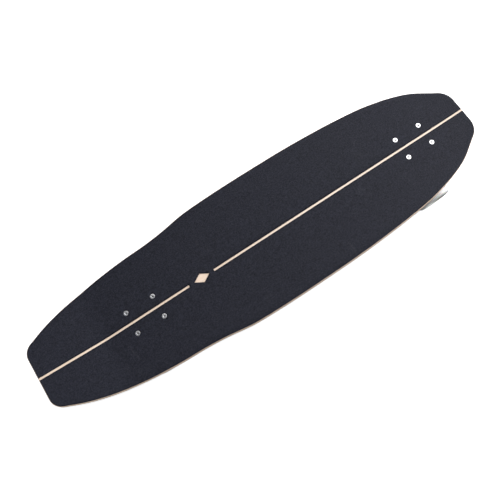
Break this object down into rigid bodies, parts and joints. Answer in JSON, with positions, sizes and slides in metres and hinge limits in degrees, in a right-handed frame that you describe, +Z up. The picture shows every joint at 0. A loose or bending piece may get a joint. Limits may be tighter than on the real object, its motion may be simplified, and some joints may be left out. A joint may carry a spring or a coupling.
{
  "type": "surf skateboard",
  "caption": "Surf skateboard with a kicked tail, black grip tape split by a line of bare maple, a swinging and tilting front truck and a tall tilting rear truck.",
  "frame": {"origin": "on the ground, below the middle of the board's length and width", "axes": "+X to the nose, +Y to the rider's left, +Z up"},
  "size_m": [0.9028, 0.2462, 0.1557],
  "materials": {
    "maple": "seven-ply maple, satin lacquer",
    "grip": "coarse grit, dark grey to black",
    "steel": "bright zinc plate",
    "dark_steel": "dull zinc plate",
    "cast_aluminium": "satin cast aluminium",
    "black_casting": "satin black powder coat",
    "urethane": "smooth satin urethane",
    "bushing": "translucent satin urethane",
    "riser": "moulded shock pad",
    "bronze": "turned bearing bronze"
  },
  "bodies": {
    "deck_assembly": {"deck": "maple", "grip_tape": "grip", "front_left_nose_bolt": "steel", "front_left_tail_bolt": "steel", "front_right_nose_bolt": "steel", "front_right_tail_bolt": "steel", "rear_left_nose_bolt": "steel", "rear_left_tail_bolt": "steel", "rear_right_nose_bolt": "steel", "rear_right_tail_bolt": "steel", "front_left_nose_lock_nut": "dark_steel", "front_left_tail_lock_nut": "dark_steel", "front_right_nose_lock_nut": "dark_steel", "front_right_tail_lock_nut": "dark_steel", "rear_left_nose_lock_nut": "dark_steel", "rear_left_tail_lock_nut": "dark_steel", "rear_right_nose_lock_nut": "dark_steel", "rear_right_tail_lock_nut": "dark_steel", "front_riser": "riser", "rear_riser": "riser", "front_baseplate": "black_casting", "rear_baseplate": "black_casting", "swing_shaft": "steel", "swing_thrust_washer": "bronze", "return_spring": "dark_steel", "rear_upper_bushing": "bushing", "rear_lower_bushing": "bushing", "rear_pivot_cup": "bushing", "rear_bushing_washer": "dark_steel", "rear_kingpin_nut": "dark_steel", "rear_kingpin": "steel"},
    "front_arm": {"swing_arm": "cast_aluminium", "swing_sleeve": "bronze", "front_upper_bushing": "bushing", "front_lower_bushing": "bushing", "front_pivot_cup": "bushing", "front_bushing_washer": "dark_steel", "front_kingpin_nut": "dark_steel", "front_kingpin": "steel"},
    "front_axle_set": {"front_hanger": "cast_aluminium", "front_axle": "steel", "front_left_axle_nut": "dark_steel", "front_right_axle_nut": "dark_steel"},
    "rear_axle_set": {"rear_hanger": "cast_aluminium", "rear_axle": "steel", "rear_left_axle_nut": "dark_steel", "rear_right_axle_nut": "dark_steel"},
    "front_left_wheel_set": {"front_left_wheel": "urethane", "front_left_inner_bearing": "steel", "front_left_outer_bearing": "steel"},
    "front_right_wheel_set": {"front_right_wheel": "urethane", "front_right_inner_bearing": "steel", "front_right_outer_bearing": "steel"},
    "rear_left_wheel_set": {"rear_left_wheel": "urethane", "rear_left_inner_bearing": "steel", "rear_left_outer_bearing": "steel"},
    "rear_right_wheel_set": {"rear_right_wheel": "urethane", "rear_right_inner_bearing": "steel", "rear_right_outer_bearing": "steel"}
  },
  "joints": [
    {"name": "front_swing", "type": "hinge", "parent": "deck_assembly", "child": "front_arm", "pos_m": [0.3987, 0, 0.092], "axis": [0.4226, 0, 0.9063], "range_deg": [-25, 25], "stiffness_Nm_per_rad": 25},
    {"name": "front_tilt", "type": "hinge", "parent": "front_arm", "child": "front_axle_set", "pos_m": [0.3127, 0, 0.056], "axis": [0.866, 0, 0.5], "range_deg": [-12, 12], "stiffness_Nm_per_rad": 60, "deforming": ["front_upper_bushing", "front_lower_bushing"]},
    {"name": "rear_tilt", "type": "hinge", "parent": "deck_assembly", "child": "rear_axle_set", "pos_m": [-0.2323, 0, 0.056], "axis": [-0.866, 0, 0.5], "range_deg": [-18, 18], "stiffness_Nm_per_rad": 60, "deforming": ["rear_upper_bushing", "rear_lower_bushing"]},
    {"name": "front_left_wheel_spin", "type": "hinge", "parent": "front_axle_set", "child": "front_left_wheel_set", "pos_m": [0.3447, 0.083, 0.035], "axis": [0, 1, 0], "continuous": true},
    {"name": "front_right_wheel_spin", "type": "hinge", "parent": "front_axle_set", "child": "front_right_wheel_set", "pos_m": [0.3447, -0.083, 0.035], "axis": [0, 1, 0], "continuous": true},
    {"name": "rear_left_wheel_spin", "type": "hinge", "parent": "rear_axle_set", "child": "rear_left_wheel_set", "pos_m": [-0.2643, 0.069, 0.035], "axis": [0, 1, 0], "continuous": true},
    {"name": "rear_right_wheel_spin", "type": "hinge", "parent": "rear_axle_set", "child": "rear_right_wheel_set", "pos_m": [-0.2643, -0.069, 0.035], "axis": [0, 1, 0], "continuous": true}
  ]
}
